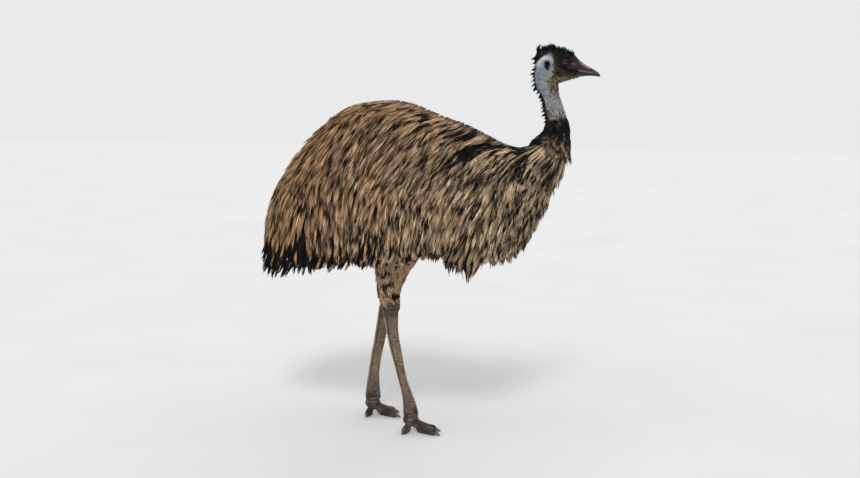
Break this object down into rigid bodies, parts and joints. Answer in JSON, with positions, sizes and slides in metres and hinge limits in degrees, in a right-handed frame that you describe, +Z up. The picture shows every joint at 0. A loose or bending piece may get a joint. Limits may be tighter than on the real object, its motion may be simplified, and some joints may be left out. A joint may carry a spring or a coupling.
{
  "type": "emu",
  "caption": "Life-size still model of a standing adult emu in mid-stride, with a shaggy coat, bare bluish neck, short bill and three-toed feet.",
  "frame": {"origin": "on the floor, under the middle of the bird's bounding box", "axes": "+X forward, the way the body faces; +Y to the bird's left; +Z up"},
  "size_m": [1.3509, 0.4704, 1.4748],
  "materials": {
    "plumage": "shaggy, matte, tan brown with blackish mottling",
    "head_plumage": "short hair-like feathers, blackish brown",
    "neck_skin": "bare skin, pale bluish grey",
    "bill": "horn, dark grey, satin",
    "eye": "wet, dark with a brown iris",
    "leg_skin": "scaled skin, grey brown",
    "claw": "horn, dark"
  },
  "bodies": {
    "root": {"head": "head_plumage", "bill_upper": "bill", "bill_lower": "bill", "neck_upper": "neck_skin", "neck_lower": "plumage", "breast": "plumage", "torso": "plumage", "tail": "plumage", "eye_left": "eye", "ear_left": "neck_skin", "wing_left": "plumage", "thigh_left": "plumage", "tarsus_left": "leg_skin", "foot_left": "leg_skin", "toe_left_inner": "leg_skin", "claw_left_inner": "claw", "toe_left_middle": "leg_skin", "claw_left_middle": "claw", "toe_left_outer": "leg_skin", "claw_left_outer": "claw", "eye_right": "eye", "ear_right": "neck_skin", "wing_right": "plumage", "thigh_right": "plumage", "tarsus_right": "leg_skin", "foot_right": "leg_skin", "toe_right_inner": "leg_skin", "claw_right_inner": "claw", "toe_right_middle": "leg_skin", "claw_right_middle": "claw", "toe_right_outer": "leg_skin", "claw_right_outer": "claw"}
  },
  "joints": []
}
